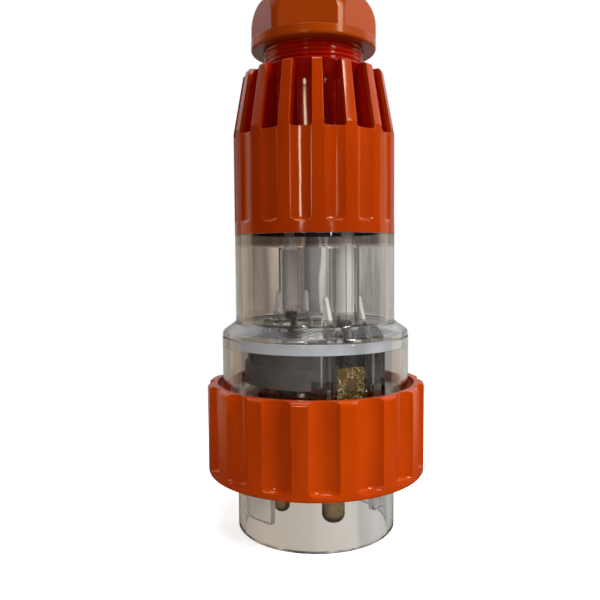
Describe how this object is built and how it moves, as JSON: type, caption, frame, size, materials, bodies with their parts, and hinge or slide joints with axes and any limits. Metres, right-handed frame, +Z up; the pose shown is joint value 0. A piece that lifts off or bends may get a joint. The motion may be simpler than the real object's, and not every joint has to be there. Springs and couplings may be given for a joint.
{
  "type": "pin and sleeve plug",
  "caption": "Round screwed power plug with clear housings, a fluted locking ring, round contacts in a keyed shroud and a finned back shell with a cable gland.",
  "frame": {"origin": "centre of the shroud's rim, which the plug stands on", "axes": "+Z up along the plug's axis towards the cable gland; -Y through the earth pin"},
  "size_m": [0.076, 0.076, 0.183],
  "materials": {
    "clear_housing": "clear moulded plastic, polished",
    "white_gasket": "smooth, slightly translucent",
    "black_rubber": "matte",
    "dark_plastic": "moulded, satin",
    "orange_gloss": "moulded, glossy",
    "orange_satin": "moulded, satin",
    "white_plastic": "moulded, satin",
    "brass": "machined",
    "screw_steel": "zinc plated"
  },
  "bodies": {
    "plug_body": {"front_housing": "clear_housing", "rear_housing": "clear_housing", "joint_gasket": "white_gasket", "barrel_gasket": "black_rubber", "terminal_carrier": "dark_plastic", "back_shell": "orange_gloss", "shell_seal": "black_rubber", "gland_bush": "black_rubber", "earth_pin": "brass", "phase_1_pin": "brass", "phase_2_pin": "brass", "phase_3_pin": "brass", "earth_terminal_screw": "screw_steel", "phase_1_terminal_screw": "screw_steel", "phase_2_terminal_screw": "screw_steel", "phase_3_terminal_screw": "screw_steel", "assembly_screw_1": "screw_steel", "assembly_screw_2": "screw_steel", "screw_block_1": "brass", "screw_block_2": "brass"},
    "ring": {"locking_ring": "orange_gloss"},
    "washer": {"gland_washer": "white_plastic"},
    "nut": {"gland_nut": "orange_satin"}
  },
  "joints": [
    {"name": "ring_turn", "type": "hinge", "parent": "plug_body", "child": "ring", "pos_m": [0, 0, 0.0465], "axis": [0, 0, 1], "continuous": true},
    {"name": "washer_slide", "type": "slide", "parent": "plug_body", "child": "washer", "axis": [0, 0, 1], "range_m": [-0.0045, 0.003]},
    {"name": "nut_turn", "type": "hinge", "parent": "washer", "child": "nut", "pos_m": [0, 0, 0.1767], "axis": [0, 0, 1], "range_deg": [-1080, 720]}
  ],
  "couplings": [
    {"joint": "washer_slide", "follows": "nut_turn", "m_per_rad": 0.00023873}
  ]
}
